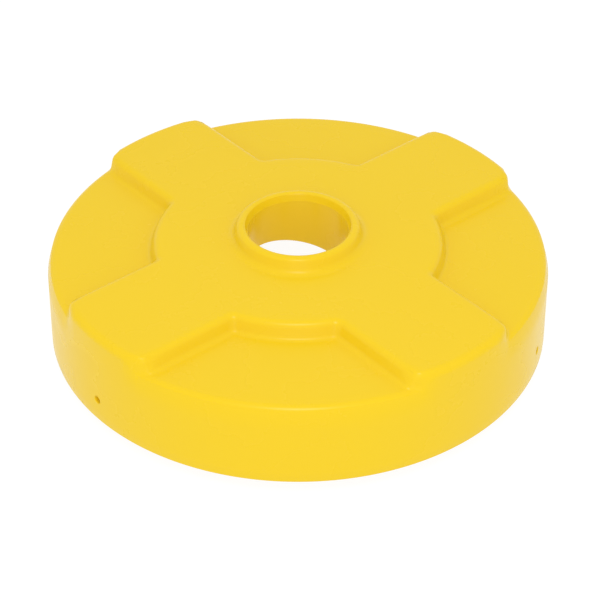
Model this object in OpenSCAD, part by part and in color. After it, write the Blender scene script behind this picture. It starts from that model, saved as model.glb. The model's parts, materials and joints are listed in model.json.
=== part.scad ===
// Drum dolly: a round moulded deck carried on four plate-mounted swivel casters.
// Frame: millimetres, +Z up, origin on the floor under the centre of the deck.
// Arms of the raised cross lie along X and Y, with one caster under each arm.

/* [Deck] */
// Radius of the deck at its shoulder
deck_r = 305; // [280:1:370]
// Outward flare of the skirt at its lower edge
skirt_flare = 2; // [0:0.5:5]
// Height of the floors between the arms above the skirt's lower edge
floor_h = 106; // [88:1:128]
// Height of the cross above the floors
cross_h = 19.5; // [10:0.5:25]
// Wall thickness of the moulding
wall = 6; // [4:0.5:8]
// Radius of the shoulder
shoulder_round = 11; // [5:0.5:16]
// Radius where an arm rolls over into the skirt
arm_end_round = 10; // [5:0.5:16]

/* [Cross] */
// Width of each arm at half its height
arm_w = 149; // [124:1:180]
// Radius of the hub at half its height
hub_r = 177; // [147:1:213]
// Horizontal run of the drafted, rounded wall from the cross down to a floor
step_run = 11; // [6:0.5:14]

/* [Throat] */
// Radius of the open throat
throat_r = 61.5; // [50:0.5:75]
// Height of the lip above the hub
lip_h = 18; // [10:0.5:22]
// Width of the lip from the throat to its crest
lip_inner = 5; // [4:0.5:12]
// Width of the lip from its crest to the hub
lip_outer = 20; // [10:0.5:24]
// Drop from the crest of the lip to the sharp top edge of the throat
lip_drop = 9.5; // [3:0.5:12]
// Length of the throat below its top edge, on its centre line
throat_len = 62; // [51:1:75]
// Fall of the throat's lower edge from its centre line to its side
throat_fall = 12; // [0:1:14]
// Direction in which the throat's lower edge falls
throat_fall_dir = -40; // [-180:1:180]

/* [Skirt holes] */
// Diameter of the holes in the skirt
hole_d = 10; // [6:0.5:14]
// Height of the holes above the skirt's lower edge
hole_h = 30; // [15:1:60]

/* [Underside] */
// Thickness of the ribs
rib_t = 5; // [3:0.5:7]
// Depth of the diagonal ribs below the floors, next to the throat
rib_depth = 15; // [8:1:16]
// Depth of the diagonal ribs below the floors, next to the skirt
rib_depth_out = 50; // [20:1:60]
// Radius of the bosses that hold the threaded inserts
boss_r = 11; // [9:0.5:13]
// Depth of the bosses below the cross
boss_h = 14.5; // [12:0.5:20]

/* [Caster place] */
// Distance from the deck's shoulder in to each swivel axis
swivel_inset = 115; // [110:1:138]
// Height of a caster above its wheel
head_h = 25; // [23:1:30]
// Trail of the wheel behind the swivel axis
trail = 38; // [30:1:44]

/* [Caster plate and fixings] */
// Width of the plate beyond its holes
plate_edge = 12.5; // [10:0.5:15]
// Thickness of the top plate
plate_t = 3; // [2.5:0.5:4]
// Spacing of the plate's holes outward from the deck's centre
bolt_dx = 80; // [80:1:96]
// Spacing of the plate's holes across an arm
bolt_dy = 60; // [60:1:72]
// Diameter of the mounting bolts
bolt_d = 8; // [6:0.5:10]
// Length of the threaded inserts
insert_len = 12; // [10:1:14]

/* [Swivel head] */
// Diameter of the king pin
pin_d = 12; // [10:0.5:14.5]
// Diameter of the upper bearing balls
ball_d = 8; // [6:0.5:8]
// Radius of the upper ring of balls
race_r = 24; // [22:0.5:26]
// Diameter of the lower bearing balls
small_ball_d = 5; // [4:0.5:5]
// Gap between the lower ball cup and the fork's legs
cup_gap = 1; // [0.5:0.5:2]
// Spacing of the balls in a ring, in ball diameters
ball_pitch = 1.15; // [1.05:0.05:1.5]

/* [Fork and wheel] */
// Thickness of the fork's steel
fork_t = 3; // [2:0.5:4]
// Diameter of the wheel
wheel_d = 100; // [82:1:120]
// Width of the tyre
tyre_w = 32; // [26:0.5:39]
// Radial thickness of the tyre
tyre_t = 9; // [6:0.5:12]
// Length of the hub beyond each side of the tyre
hub_side = 2.5; // [2:0.5:5]
// Diameter of the axle bolt
axle_d = 10; // [8:0.5:12]
// Wall of the axle sleeve
sleeve_wall = 2.5; // [1.5:0.5:3]
// Wall of the wheel bush
bush_wall = 2.5; // [1.5:0.5:3.5]

/* [Fits] */
// Radial clearance of a turning shaft
run_gap = 0.05; // [0.03:0.01:0.09]
// Radial clearance of a part that is bolted or pressed in place
seat_gap = 0.1; // [0.1:0.05:0.2]
// Clearance between a ball and its race
ball_gap = 0.04; // [0.03:0.01:0.08]

/* [Hidden] */
CASTERS = [0, 1, 2, 3];
CASTER_PARTS = ["plate", "king_pin", "ball_cup", "balls", "dust_seal", "fork",
                "axle_bolt", "axle_nut", "axle_sleeve", "wheel_bush", "wheel_core", "tyre"];

$fn = 64;
eps = 0.01;
arc_steps = 5;       // straight pieces that stand for a quarter round

// Caster sizes that the deck is built around
caster_h = wheel_d + head_h;
swivel_r = deck_r - swivel_inset;
plate_l = bolt_dx + 2 * plate_edge;
plate_w = bolt_dy + 2 * plate_edge;
hub_len = tyre_w + 2 * hub_side;

// Heights in the deck, above its skirt's lower edge
cross_top = floor_h + cross_h;
ground_gap = caster_h + boss_h + wall - cross_top;
lip_top = cross_top + lip_h;
throat_top = lip_top - lip_drop;
throat_low = throat_top - throat_len;

// Heights in a caster, above the floor that it rolls on
plate_z = caster_h - plate_t;
race_wall = 5;                                  // half width of a ball race
sleeve_side = 1;                                // length of the sleeve beyond the hub
upper_ball_z = plate_z - 1.5 - ball_d / 2;
upper_race_h = 3.5;                             // depth of the race on the plate
crown_top = upper_ball_z - ball_d / 2 - ball_gap;
crown_bottom = crown_top - fork_t;
crown_race_h = 2.5;                             // height of the race on the crown
lower_ball_z = crown_bottom - small_ball_d / 2 - ball_gap;
cup_top = lower_ball_z + small_ball_d * 0.2;
cup_t = small_ball_d * 0.7 + 1;
cup_bottom = cup_top - cup_t;
cup_r = tyre_w / 2 + hub_side + sleeve_side - cup_gap;
small_race_r = cup_r - small_ball_d / 2 - 1;
pin_head_t = 2;
pin_head_r = pin_d / 2 + 3;
crown_hole_r = pin_d / 2 + 4;
seal_r = race_r + race_wall + 1.5;
seal_t = 2.5;
crown_r = seal_r + seal_t + 2;

// Wheel and axle
axle_z = wheel_d / 2;
sleeve_len = hub_len + 2 * sleeve_side;
leg_in = sleeve_len / 2;                        // inner face of a fork leg
leg_out = leg_in + fork_t;
leg_end_r = axle_d / 2 + 9;
fork_front = crown_r * 0.72;                    // front and back edges of the fork's crown
fork_back = -trail * 0.9;
sleeve_r = axle_d / 2 + seat_gap + sleeve_wall;
bush_bore_r = sleeve_r + run_gap;
bush_r = bush_bore_r + bush_wall;
hub_wall = 6;
core_r = wheel_d / 2 - tyre_t;
rim_t = 5;
web_t = 9;
axle_nut_h = axle_d;
axle_head_h = axle_d * 0.64;
axle_hex_r = axle_d * 0.92;

// Mounting bolts: plate, washer and head stack downward from the deck's bosses
insert_r = bolt_d / 2 + 2;
insert_bore_r = bolt_d / 2 + run_gap;
washer_t = 2;
washer_r = bolt_d * 0.9;
bolt_head_h = bolt_d * 0.66;
bolt_hex_r = bolt_d * 0.92;
bolt_reach = insert_len - 2;                    // length of bolt inside its insert
boss_top = ground_gap + cross_top - wall / 2;

// Points of an arc about (x, z), from angle a0 to angle a1
function arc(x, z, r, a0, a1, n = arc_steps) =
    [for (i = [0 : n]) let (a = a0 + (a1 - a0) * i / n) [x + r * cos(a), z + r * sin(a)]];

// Points of the cross's wall, from a floor up to the top, offset inward by g: a small
// hollow at the foot, a drafted wall and a rounded upper edge. Each step is a share of
// the wall's run inward and of its height.
step_shape = [[0.5, 0], [0.16, 0.18], [-0.10, 0.60], [-0.24, 0.86], [-0.5, 1]];
function step_profile(half, g) =
    [for (p = step_shape) [half + step_run * p[0] - g, floor_h - g + cross_h * p[1]]];

module at_casters() {
    for (k = CASTERS) rotate([0, 0, 90 * k]) translate([swivel_r, 0, 0]) children();
}

module at_caster(k) {
    rotate([0, 0, 90 * k]) translate([swivel_r, 0, 0]) children();
}

module at_bolts() {
    for (sx = [-1, 1]) for (sy = [-1, 1])
        translate([sx * bolt_dx / 2, sy * bolt_dy / 2, 0]) children();
}

module ring(r_out, r_in, z0, z1) {
    difference() {
        translate([0, 0, z0]) cylinder(r = r_out, h = z1 - z0);
        translate([0, 0, z0 - 1]) cylinder(r = r_in, h = z1 - z0 + 2);
    }
}

module hex(r, z0, h) {
    translate([0, 0, z0]) cylinder(r = r, h = h, $fn = 6);
}

// Turned body of the deck, offset inward by g, with its top at height top
module turned_body(top, round, g) {
    r = deck_r - g;
    q = round - g * 0.5;
    rotate_extrude($fn = 128)
        polygon(concat([[0, -g * 2], [deck_r + skirt_flare - g, -g * 2], [r, top - g - q]],
                       [for (p = arc(r - q, top - g - q, q, 10, 90)) p],
                       [[0, top - g]]));
}

// Outer form of the deck, offset inward by g
module deck_form(g) {
    turned_body(floor_h, shoulder_round, g);
    intersection() {
        turned_body(cross_top, arm_end_round, g);
        union() {
            rotate_extrude($fn = 128)
                polygon(concat([[0, 0], [step_profile(hub_r, g)[0][0], 0]],
                               step_profile(hub_r, g), [[0, cross_top - g]]));
            for (a = [0, 90]) rotate([0, 0, a]) arm_bar(g);
        }
    }
}

// Two opposite arms as one straight bar along X, offset inward by g
module arm_bar(g) {
    side = step_profile(arm_w / 2, g);
    n = len(side);
    rotate([90, 0, 90])
        translate([0, 0, -deck_r - 10])
            linear_extrude(height = 2 * deck_r + 20)
                polygon(concat([[side[0][0], 0]], side,
                               [for (i = [n - 1 : -1 : 0]) [-side[i][0], side[i][1]]],
                               [[-side[0][0], 0]]));
}

// Outer side of the lip from its crest down to the hub, each point as a share of the
// lip's outer width and of its height: a round crest, a steep flank and a hollow foot
lip_shape = [[0.19, 0.955], [0.35, 0.78], [0.44, 0.50], [0.60, 0.20], [0.78, 0.06], [1, 0]];

// Rounded lip and the wall of the throat, as one turned ring
module lip_and_throat() {
    crest = throat_r + lip_inner;
    out = crest + lip_outer;
    rotate_extrude($fn = 96)
        polygon(concat(
            [[throat_r, throat_low - throat_fall - 1], [throat_r, throat_top]],
            [for (i = [1 : arc_steps]) let (a = 90 * i / arc_steps)
                [crest - lip_inner * cos(a), throat_top + lip_drop * sin(a)]],
            [for (p = lip_shape) [crest + lip_outer * p[0], cross_top + lip_h * p[1]]],
            [[out, cross_top - wall / 2], [throat_r + wall, cross_top - wall / 2],
             [throat_r + wall, throat_low - throat_fall - 1]]));
}

// Space below the sloping lower edge of the throat
module throat_trim() {
    slope = atan(throat_fall / throat_r);
    rotate([0, 0, throat_fall_dir])
        translate([0, 0, throat_low])
            rotate([0, slope, 0])
                translate([-throat_r * 2, -throat_r * 2, -60])
                    cube([throat_r * 4, throat_r * 4, 60]);
}

// Ribs between the arms, from the throat out to the skirt
module diagonal_ribs() {
    under = floor_h - wall;
    for (a = [45, 135, 225, 315]) rotate([90, 0, a])
        translate([0, 0, -rib_t / 2]) linear_extrude(height = rib_t)
            polygon([[throat_r + wall / 2, under - rib_depth], [deck_r, under - rib_depth_out],
                     [deck_r, cross_top], [throat_r + wall / 2, cross_top]]);
}

// Bosses for the inserts, joined by ribs to each other and to the walls of an arm
module caster_seat() {
    foot = caster_h - ground_gap;
    h = boss_top - caster_h;
    translate([0, 0, foot]) {
        at_bolts() cylinder(r = boss_r, h = h, $fn = 48);
        for (sx = [-1, 1]) translate([sx * bolt_dx / 2 - rib_t / 2, -arm_w / 2, 0])
            cube([rib_t, arm_w, h]);
        for (sy = [-1, 1]) translate([-bolt_dx / 2, sy * bolt_dy / 2 - rib_t / 2, 0])
            cube([bolt_dx, rib_t, h]);
    }
}

module deck_shell() {
    color("gold")
    translate([0, 0, ground_gap])
    difference() {
        union() {
            difference() {
                deck_form(0);
                deck_form(wall);
            }
            intersection() {
                deck_form(wall / 2);
                union() {
                    diagonal_ribs();
                    at_casters() caster_seat();
                }
            }
            difference() {
                lip_and_throat();
                throat_trim();
            }
        }
        translate([0, 0, -1]) cylinder(r = throat_r, h = throat_top + 1, $fn = 96);
        translate([0, 0, throat_top - eps])
            cylinder(r1 = throat_r, r2 = throat_r + lip_inner / 4, h = lip_drop / 8);
        for (a = [60, 180, 300]) rotate([0, 0, a])
            translate([deck_r - wall - 10, 0, hole_h])
                rotate([0, 90, 0]) cylinder(d = hole_d, h = wall + 30, $fn = 48);
        at_casters() at_bolts() translate([0, 0, caster_h - ground_gap - 1])
            cylinder(r = insert_r, h = insert_len + 1, $fn = 48);
    }
}

module threaded_inserts() {
    color("goldenrod")
    at_casters() at_bolts()
        ring(insert_r, insert_bore_r, caster_h, caster_h + insert_len);
}

module plate_bolts() {
    color("silver")
    at_casters() at_bolts() {
        hex(bolt_hex_r, plate_z - washer_t - bolt_head_h, bolt_head_h);
        translate([0, 0, plate_z - washer_t - eps])
            cylinder(r = bolt_d / 2, h = washer_t + plate_t + bolt_reach + eps, $fn = 48);
    }
}

module lock_washers() {
    color("silver")
    at_casters() at_bolts()
        ring(washer_r, bolt_d / 2 + seat_gap, plate_z - washer_t, plate_z);
}

// Ring-shaped groove for balls of diameter d on radius r at height z
module groove(r, d, z, gap) {
    translate([0, 0, z]) rotate_extrude($fn = 64) translate([r, 0]) circle(d = d + 2 * gap, $fn = 32);
}

module plate() {
    corner = 8;
    color("silver")
    difference() {
        union() {
            translate([0, 0, plate_z]) linear_extrude(height = plate_t) union() {
                square([plate_l - 2 * corner, plate_w], center = true);
                square([plate_l, plate_w - 2 * corner], center = true);
                for (sx = [-1, 1]) for (sy = [-1, 1])
                    translate([sx * (plate_l / 2 - corner), sy * (plate_w / 2 - corner)])
                        circle(r = corner, $fn = 32);
            }
            translate([0, 0, plate_z - upper_race_h])
                cylinder(r = race_r + race_wall, h = upper_race_h + eps);
        }
        translate([0, 0, plate_z - upper_race_h - 1])
            cylinder(r = race_r - race_wall, h = upper_race_h + 1);
        groove(race_r, ball_d, upper_ball_z, ball_gap);
        translate([0, 0, plate_z - 1]) cylinder(r = pin_d / 2 + run_gap, h = plate_t + 2);
        at_bolts() translate([0, 0, plate_z - 1])
            cylinder(r = bolt_d / 2 + 0.5, h = plate_t + 2, $fn = 48);
    }
}

module king_pin() {
    color("silver") {
        translate([0, 0, cup_bottom - eps]) cylinder(d = pin_d, h = caster_h - cup_bottom + 2 * eps);
        translate([0, 0, caster_h]) cylinder(r1 = pin_head_r, r2 = pin_head_r - 2, h = pin_head_t + 1);
        translate([0, 0, cup_bottom - pin_head_t])
            cylinder(r1 = pin_head_r - 1.5, r2 = pin_head_r, h = pin_head_t);
    }
}

module ball_cup() {
    color("silver")
    difference() {
        translate([0, 0, cup_bottom]) cylinder(r = cup_r, h = cup_t);
        translate([0, 0, cup_bottom - 1]) cylinder(r = pin_d / 2 + run_gap, h = cup_t + 2);
        groove(small_race_r, small_ball_d, lower_ball_z, ball_gap);
    }
}

module ball_ring(r, d, z) {
    count = floor(2 * PI * r / (d * ball_pitch));
    for (i = [0 : count - 1]) rotate([0, 0, 360 * i / count])
        translate([r, 0, z]) sphere(d = d, $fn = 24);
}

module balls() {
    color("gray")
    ball_ring(race_r, ball_d, upper_ball_z);
    ball_ring(small_race_r, small_ball_d, lower_ball_z);
}

module dust_seal() {
    color("dimgray") ring(seal_r + seal_t, seal_r, crown_top, plate_z - 0.3);
}

// Side view of a fork leg: from the crown down to a round end at the axle. The straight
// edges end a little inside the round end, so that they cross it cleanly.
module fork_leg_outline() {
    shoulder_z = crown_bottom - 6;
    root_r = leg_end_r * 0.97;
    front_d = norm([fork_front + trail, shoulder_z - axle_z]);
    front_a = atan2(shoulder_z - axle_z, fork_front + trail) - acos(root_r / front_d);
    back_d = norm([fork_back + trail, shoulder_z - axle_z]);
    back_a = atan2(shoulder_z - axle_z, fork_back + trail) + acos(root_r / back_d);
    translate([-trail, axle_z]) circle(r = leg_end_r, $fn = 48);
    polygon([[fork_back, crown_top], [fork_front, crown_top], [fork_front, shoulder_z],
             [-trail + root_r * cos(front_a), axle_z + root_r * sin(front_a)],
             [-trail, axle_z],
             [-trail + root_r * cos(back_a), axle_z + root_r * sin(back_a)],
             [fork_back, shoulder_z]]);
}

module fork() {
    color("silver")
    difference() {
        union() {
            translate([0, 0, crown_bottom]) cylinder(r = crown_r, h = fork_t);
            translate([fork_back, -leg_out, crown_bottom])
                cube([fork_front - fork_back, 2 * leg_out, fork_t]);
            translate([0, 0, crown_top - eps])
                cylinder(r = race_r + race_wall, h = crown_race_h);
            for (s = [-1, 1])
                translate([0, s > 0 ? leg_out : -leg_in, 0])
                    rotate([90, 0, 0]) linear_extrude(height = fork_t) fork_leg_outline();
        }
        translate([0, 0, crown_top]) cylinder(r = race_r - race_wall, h = crown_race_h + 1);
        translate([0, 0, crown_bottom - 1]) cylinder(r = crown_hole_r, h = fork_t + 2);
        groove(race_r, ball_d, upper_ball_z, ball_gap);
        translate([-trail, leg_out + 1, axle_z]) rotate([90, 0, 0])
            cylinder(r = axle_d / 2 + seat_gap, h = 2 * leg_out + 2, $fn = 48);
    }
}

// Places something turned about Z on the axle, with its +Z along the axle towards +Y
module on_axle() {
    translate([-trail, 0, axle_z]) rotate([-90, 0, 0]) children();
}

module axle_bolt() {
    color("silver") on_axle() {
        translate([0, 0, -leg_out - axle_nut_h - 1])
            cylinder(d = axle_d, h = 2 * leg_out + axle_nut_h + 1 + eps, $fn = 48);
        hex(axle_hex_r, leg_out, axle_head_h);
    }
}

module axle_nut() {
    color("silver") on_axle() difference() {
        union() {
            hex(axle_hex_r, -leg_out - axle_nut_h * 0.75, axle_nut_h * 0.75);
            translate([0, 0, -leg_out - axle_nut_h])
                cylinder(r = axle_hex_r * 0.8, h = axle_nut_h * 0.25 + eps);
        }
        translate([0, 0, -leg_out - axle_nut_h - 1])
            cylinder(r = axle_d / 2 + run_gap, h = axle_nut_h + 2, $fn = 48);
    }
}

module axle_sleeve() {
    color("silver") on_axle() ring(sleeve_r, axle_d / 2 + seat_gap, -sleeve_len / 2, sleeve_len / 2);
}

module wheel_bush() {
    color("ivory") on_axle() ring(bush_r, bush_bore_r, -hub_len / 2, hub_len / 2);
}

module wheel_core() {
    rim_w = tyre_w - 1;
    hub_out = bush_r + hub_wall;
    color("gainsboro") on_axle() rotate_extrude($fn = 96)
        polygon([[bush_r, -hub_len / 2], [hub_out - 1, -hub_len / 2], [hub_out, -hub_len / 2 + 1],
                 [hub_out + 2, -web_t / 2], [core_r - rim_t - 2, -web_t / 2],
                 [core_r - rim_t, -rim_w / 2], [core_r, -rim_w / 2],
                 [core_r, rim_w / 2], [core_r - rim_t, rim_w / 2],
                 [core_r - rim_t - 2, web_t / 2], [hub_out + 2, web_t / 2],
                 [hub_out, hub_len / 2 - 1], [hub_out - 1, hub_len / 2], [bush_r, hub_len / 2]]);
}

module tyre() {
    r = wheel_d / 2;
    h = tyre_w / 2;
    color("dimgray") on_axle() rotate_extrude($fn = 96)
        polygon(concat([[core_r, -h]], [for (p = [[r - 5, -h], [r - 2, -h + 1], [r - 0.6, -h + 3.5]]) p],
                       [[r, -h + 8], [r, h - 8]],
                       [for (p = [[r - 0.6, h - 3.5], [r - 2, h - 1], [r - 5, h]]) p],
                       [[core_r, h]]));
}

module caster_part(name) {
    if (name == "plate") plate();
    if (name == "king_pin") king_pin();
    if (name == "ball_cup") ball_cup();
    if (name == "balls") balls();
    if (name == "dust_seal") dust_seal();
    if (name == "fork") fork();
    if (name == "axle_bolt") axle_bolt();
    if (name == "axle_nut") axle_nut();
    if (name == "axle_sleeve") axle_sleeve();
    if (name == "wheel_bush") wheel_bush();
    if (name == "wheel_core") wheel_core();
    if (name == "tyre") tyre();
}

deck_shell();
threaded_inserts();
plate_bolts();
lock_washers();
for (k = CASTERS) for (name = CASTER_PARTS)
    at_caster(k) caster_part(name);
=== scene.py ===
"""Drum dolly: the moulded deck, its casters and the studio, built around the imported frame."""

import json
import math

import bmesh
import bpy
from mathutils import Matrix, Vector


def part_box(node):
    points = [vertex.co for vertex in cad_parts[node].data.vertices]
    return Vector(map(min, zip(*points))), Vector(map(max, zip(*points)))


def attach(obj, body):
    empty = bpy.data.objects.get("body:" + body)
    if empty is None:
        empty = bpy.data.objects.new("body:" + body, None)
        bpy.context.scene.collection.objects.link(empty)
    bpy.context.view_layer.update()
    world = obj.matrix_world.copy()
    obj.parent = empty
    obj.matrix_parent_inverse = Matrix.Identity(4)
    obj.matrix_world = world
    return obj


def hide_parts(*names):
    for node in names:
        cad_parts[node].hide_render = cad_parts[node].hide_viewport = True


bl_info = {
    "name": "Drum Dolly",
    "version": (1, 0, 0),
    "blender": (4, 5, 0),
    "location": "3D View > Sidebar > Drum Dolly",
    "description": "Builds a round moulded drum dolly on four swivel casters",
    "category": "Add Mesh",
}

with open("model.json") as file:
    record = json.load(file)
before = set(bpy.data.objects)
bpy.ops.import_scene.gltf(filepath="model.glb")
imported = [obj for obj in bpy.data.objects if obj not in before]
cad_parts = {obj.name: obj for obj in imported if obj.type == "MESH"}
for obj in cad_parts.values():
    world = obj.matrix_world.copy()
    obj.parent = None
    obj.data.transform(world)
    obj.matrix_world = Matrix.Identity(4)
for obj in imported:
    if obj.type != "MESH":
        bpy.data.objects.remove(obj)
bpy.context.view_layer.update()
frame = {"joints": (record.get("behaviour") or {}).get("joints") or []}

MM = 0.001
DECK_LOW, DECK_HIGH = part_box("deck_shell")
JOINTS = {joint["name"]: joint for joint in frame["joints"]}
CASTERS = (1, 2, 3, 4)


# ---------------------------------------------------------------- sizes and finishes

def length(name, value_mm, text):
    """A length property whose default is given in millimetres."""
    return bpy.props.FloatProperty(name=name, description=text, default=value_mm * MM,
                                   subtype="DISTANCE", unit="LENGTH", precision=4)


def angle(name, degrees, text):
    """An angle property whose default is given in degrees."""
    return bpy.props.FloatProperty(name=name, description=text, default=math.radians(degrees),
                                   subtype="ANGLE", unit="ROTATION")


def count(name, value, low, high, text):
    """A whole-number property."""
    return bpy.props.IntProperty(name=name, description=text, default=value, min=low, max=high)


def colour(name, value, text):
    """A colour property, in linear light."""
    return bpy.props.FloatVectorProperty(name=name, description=text, default=value,
                                         subtype="COLOR", size=3, min=0.0, max=1.0)


class DrumDollyDeck(bpy.types.PropertyGroup):
    """Sizes of the moulded deck that its frame box doesn't give."""
    flare: length("Skirt flare", 2.0, "How far the skirt leans out from shoulder to lower edge")
    wall: length("Wall", 6.0, "Thickness of the moulding")
    cross_height: length("Cross height", 19.5, "Height of the cross above the floors")
    floor_drop: length("Floor below lip", 37.5, "Height of the lip's crest above the floors")
    shoulder_round: length("Shoulder round", 11.0, "Radius at the outer edge of each floor")
    arm_end_round: length("Arm end round", 10.0, "Radius where an arm rolls into the skirt")
    arm_corner: length("Arm corner", 18.0, "Radius of an arm's outer corners, seen from above")
    arm_width: length("Arm width", 149.0, "Width of an arm at half its height")
    hub_radius: length("Hub radius", 177.0, "Radius of the hub at half its height")
    wall_top_round: length("Edge round", 10.0, "Radius along the upper edge of the cross")
    wall_foot_round: length("Foot round", 8.0, "Radius along the foot of the cross")
    wall_slope: angle("Wall slope", 70, "Slope of the cross's walls from level")
    throat_radius: length("Throat radius", 61.5, "Radius of the open throat")
    throat_length: length("Throat length", 62.0, "Length of the throat on its centre line")
    throat_fall: length("Throat fall", 12.0, "Slope of the throat's lower edge over a radius")
    throat_fall_turn: angle("Throat fall direction", -40,
                            "Direction in which the lower edge falls")
    lip_inner: length("Lip inner width", 6.4, "From the throat to the crest of the lip")
    lip_round: length("Lip round", 4.5, "Radius of the inner side of the lip's crest")
    lip_width: length("Lip outer width", 7.5, "From the crest of the lip to its steep outer side")
    lip_foot: length("Lip foot", 12.0, "Radius of the hollow at the lip's foot")
    lip_slope: angle("Lip slope", 70, "Slope of the lip's outer side from level")
    lip_drop: length("Lip drop", 9.5, "From the crest of the lip down to the throat's edge")
    hole_radius: length("Hole radius", 5.0, "Radius of the holes in the skirt")
    hole_height: length("Hole height", 30.0, "Height of the holes above the skirt's edge")
    steps: count("Steps", 256, 64, 512, "Steps round the deck")
    plastic: colour("Polyethylene", (0.835, 0.573, 0.0105), "Colour of the deck's polyethylene")


class DrumDollyCaster(bpy.types.PropertyGroup):
    """Sizes of the casters that the frame boxes don't give, and their colours."""
    bolt_gap_out: length("Bolts outward", 80.0, "Spacing of the plate's bolts outward")
    bolt_gap_across: length("Bolts across", 60.0, "Spacing of the plate's bolts across")
    bolt: length("Mounting bolt", 8.0, "Diameter of a mounting bolt")
    axle: length("Axle bolt", 10.0, "Diameter of the axle bolt")
    king_pin: length("King pin", 12.0, "Diameter of the king pin")
    race: length("Upper race", 24.0, "Radius of the upper ring of balls")
    ball: length("Upper ball", 8.0, "Diameter of an upper ball")
    lower_race: length("Lower race", 15.0, "Radius of the lower ring of balls")
    lower_ball: length("Lower ball", 5.0, "Diameter of a lower ball")
    balls: count("Balls", 16, 8, 24, "Balls in each ring")
    steel: length("Fork steel", 3.0, "Thickness of the fork's steel")
    tyre: length("Tyre depth", 9.0, "Radial thickness of the tyre")
    spokes: count("Spokes", 10, 4, 16, "Ribs on each side of a wheel")
    rubber: colour("Rubber", (0.035, 0.035, 0.037), "Colour of the tyres")
    wheel: colour("Wheel", (0.30, 0.31, 0.32), "Colour of the wheels' moulded cores")
    nylon: colour("Nylon", (0.72, 0.69, 0.60), "Colour of the wheel bushes")
    zinc: colour("Zinc plate", (0.60, 0.61, 0.63), "Colour of the zinc-plated steel")
    steel_colour: colour("Steel", (0.47, 0.47, 0.48), "Colour of the turned steel")
    brass: colour("Brass", (0.60, 0.42, 0.17), "Colour of the threaded inserts")


class DrumDollyStudio(bpy.types.PropertyGroup):
    """Where the camera stands, its lens and its framing."""
    turn: angle("Turn", -40, "Direction of the camera round the deck")
    rise: angle("Rise", 37.75, "Elevation of the camera")
    distance: bpy.props.FloatProperty(name="Distance", description="From the skirt's centre",
                                      default=2.533, subtype="DISTANCE", unit="LENGTH")
    lens: bpy.props.FloatProperty(name="Lens", description="Focal length", default=121.1,
                                  subtype="DISTANCE_CAMERA", unit="CAMERA")
    shift_x: bpy.props.FloatProperty(name="Shift X", description="Framing, sideways",
                                     default=0.0032)
    shift_y: bpy.props.FloatProperty(name="Shift Y", description="Framing, upward",
                                     default=0.0281)


# ---------------------------------------------------------------- mesh tools

def placed(name, data):
    """A new object in the scene, from a mesh, a light or a camera."""
    thing = bpy.data.objects.new(name, data)
    bpy.context.scene.collection.objects.link(thing)
    return thing


def mesh_from(name, bm):
    """A mesh from a bmesh, which it uses up."""
    mesh = bpy.data.meshes.new(name)
    bm.to_mesh(mesh)
    bm.free()
    return mesh


def finish_piece(name, bm, body, material, replaces=(), sharp=math.radians(35)):
    """Turns a bmesh into a smooth-shaded piece that rides on a body."""
    bmesh.ops.recalc_face_normals(bm, faces=bm.faces)
    mesh = mesh_from(name, bm)
    mesh.shade_smooth()
    mesh.set_sharp_from_angle(angle=sharp)
    piece = placed(name, mesh)
    mesh.materials.append(material)
    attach(piece, body)
    if replaces:
        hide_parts(*replaces)
    return piece


def chain(bm, points):
    """A run of edges through (x, z) points in the plane y = 0."""
    verts = [bm.verts.new((x, 0.0, z)) for x, z in points]
    edges = [bm.edges.new(pair) for pair in zip(verts, verts[1:])]
    return verts, edges


def arc(x, z, radius, start, end, steps):
    """Points of an arc about (x, z); angles in degrees."""
    turns = [math.radians(start + (end - start) * i / steps) for i in range(steps + 1)]
    return [(x + radius * math.cos(a), z + radius * math.sin(a)) for a in turns]


def turned(points, steps, closed=False):
    """A bmesh turned about Z from (radius, z) points."""
    bm = bmesh.new()
    verts, edges = chain(bm, points)
    if closed:
        edges.append(bm.edges.new((verts[-1], verts[0])))
    bmesh.ops.spin(bm, geom=verts + edges, cent=(0, 0, 0), axis=(0, 0, 1), dvec=(0, 0, 0),
                   angle=math.tau, steps=steps, use_merge=True, use_normal_flip=False,
                   use_duplicate=False)
    bmesh.ops.remove_doubles(bm, verts=bm.verts, dist=1e-6)
    return bm


def rod(r, z0, z1, steps):
    """A plain round bar along Z."""
    return turned([(0, z0), (r, z0), (r, z1), (0, z1)], steps)


def sweep(x, z, across, up, degrees):
    """Points of an ellipse about (x, z) at the given angles."""
    return [(x + across * math.cos(math.radians(d)), z + up * math.sin(math.radians(d)))
            for d in degrees]


def rounded(bm, edges, width, segments):
    """Rounds some edges of a bmesh."""
    bmesh.ops.bevel(bm, geom=list(edges), offset=width, segments=segments, profile=0.5,
                    affect="EDGES", material=-1, clamp_overlap=True)


def raised(bm, face, move):
    """Pulls a face out into a prism."""
    pulled = bmesh.ops.extrude_face_region(bm, geom=[face])["geom"]
    verts = [v for v in pulled if isinstance(v, bmesh.types.BMVert)]
    bmesh.ops.translate(bm, vec=move, verts=verts)
    bmesh.ops.recalc_face_normals(bm, faces=bm.faces)


def baked(piece):
    """Replaces a piece's mesh by what its modifiers make of it."""
    graph = bpy.context.evaluated_depsgraph_get()
    mesh = bpy.data.meshes.new_from_object(piece.evaluated_get(graph), depsgraph=graph)
    piece.modifiers.clear()
    old = piece.data
    piece.data = mesh
    mesh.name = old.name
    bpy.data.meshes.remove(old)
    return piece


# ---------------------------------------------------------------- materials

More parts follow.
